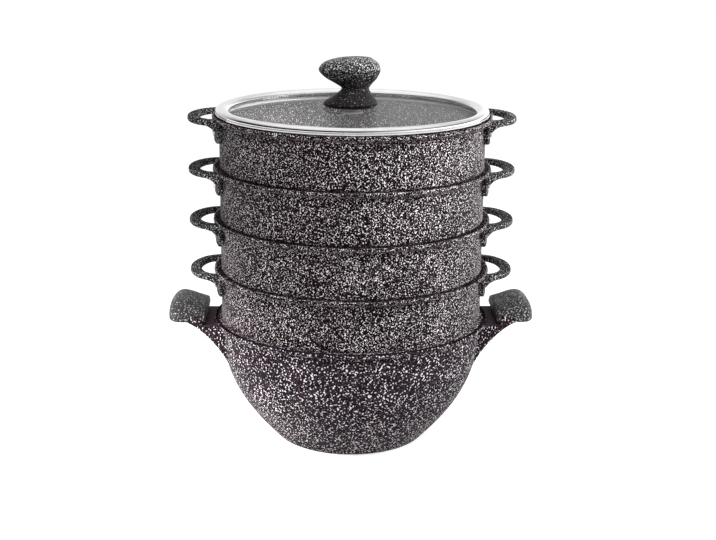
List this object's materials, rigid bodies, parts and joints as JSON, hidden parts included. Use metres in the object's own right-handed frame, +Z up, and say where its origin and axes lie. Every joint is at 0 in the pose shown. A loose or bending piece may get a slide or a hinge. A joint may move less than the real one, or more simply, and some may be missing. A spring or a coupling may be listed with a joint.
{
  "type": "manti steamer",
  "caption": "Stacked manti steamer: a rounded cast pot with gripped ears, perforated steaming tiers with riveted loop handles and a domed glass lid with a steel rim and a waisted knob.",
  "frame": {"origin": "middle of the pot's flat underside, on the axis of the stack", "axes": "+Z up the axis from the pot to the knob, X through the handles and ears, -Y to the picture's viewer"},
  "size_m": [0.4, 0.3, 0.4197],
  "materials": {
    "pot_coat": "cast aluminium with a dark flecked non-stick coat",
    "tier_coat": "cast aluminium with a dark, finely flecked non-stick coat",
    "grip": "matt grey with faint flecks",
    "knob": "satin dark grey with pale flecks",
    "steel": "bright polish",
    "rivet": "bright",
    "washer": "matt silicone",
    "glass": "clear, smooth"
  },
  "bodies": {
    "pot": {"pot_body": "pot_coat", "pot_grip_left": "grip", "pot_grip_right": "grip", "pot_grip_screw_left": "steel", "pot_grip_screw_right": "steel"},
    "tier_1": {"steamer_tier_1": "tier_coat", "tier_1_handle_left": "tier_coat", "tier_1_handle_right": "tier_coat", "tier_1_rivet_left_front": "rivet", "tier_1_rivet_left_back": "rivet", "tier_1_rivet_right_front": "rivet", "tier_1_rivet_right_back": "rivet"},
    "tier_2": {"steamer_tier_2": "tier_coat", "tier_2_handle_left": "tier_coat", "tier_2_handle_right": "tier_coat", "tier_2_rivet_left_front": "rivet", "tier_2_rivet_left_back": "rivet", "tier_2_rivet_right_front": "rivet", "tier_2_rivet_right_back": "rivet"},
    "tier_3": {"steamer_tier_3": "tier_coat", "tier_3_handle_left": "tier_coat", "tier_3_handle_right": "tier_coat", "tier_3_rivet_left_front": "rivet", "tier_3_rivet_left_back": "rivet", "tier_3_rivet_right_front": "rivet", "tier_3_rivet_right_back": "rivet"},
    "tier_4": {"steamer_tier_4": "tier_coat", "tier_4_handle_left": "tier_coat", "tier_4_handle_right": "tier_coat", "tier_4_rivet_left_front": "rivet", "tier_4_rivet_left_back": "rivet", "tier_4_rivet_right_front": "rivet", "tier_4_rivet_right_back": "rivet"},
    "lid": {"lid_glass": "glass", "lid_rim": "steel", "lid_knob": "knob", "lid_knob_washer": "washer", "lid_knob_screw": "steel"}
  },
  "joints": [
    {"name": "tier_1_lift", "type": "slide", "parent": "pot", "child": "tier_1", "axis": [0, 0, 1], "range_m": [0, 0.12]},
    {"name": "tier_2_lift", "type": "slide", "parent": "tier_1", "child": "tier_2", "axis": [0, 0, 1], "range_m": [0, 0.12]},
    {"name": "tier_3_lift", "type": "slide", "parent": "tier_2", "child": "tier_3", "axis": [0, 0, 1], "range_m": [0, 0.12]},
    {"name": "tier_4_lift", "type": "slide", "parent": "tier_3", "child": "tier_4", "axis": [0, 0, 1], "range_m": [0, 0.12]},
    {"name": "lid_lift", "type": "slide", "parent": "tier_4", "child": "lid", "axis": [0, 0, 1], "range_m": [0, 0.12]}
  ]
}
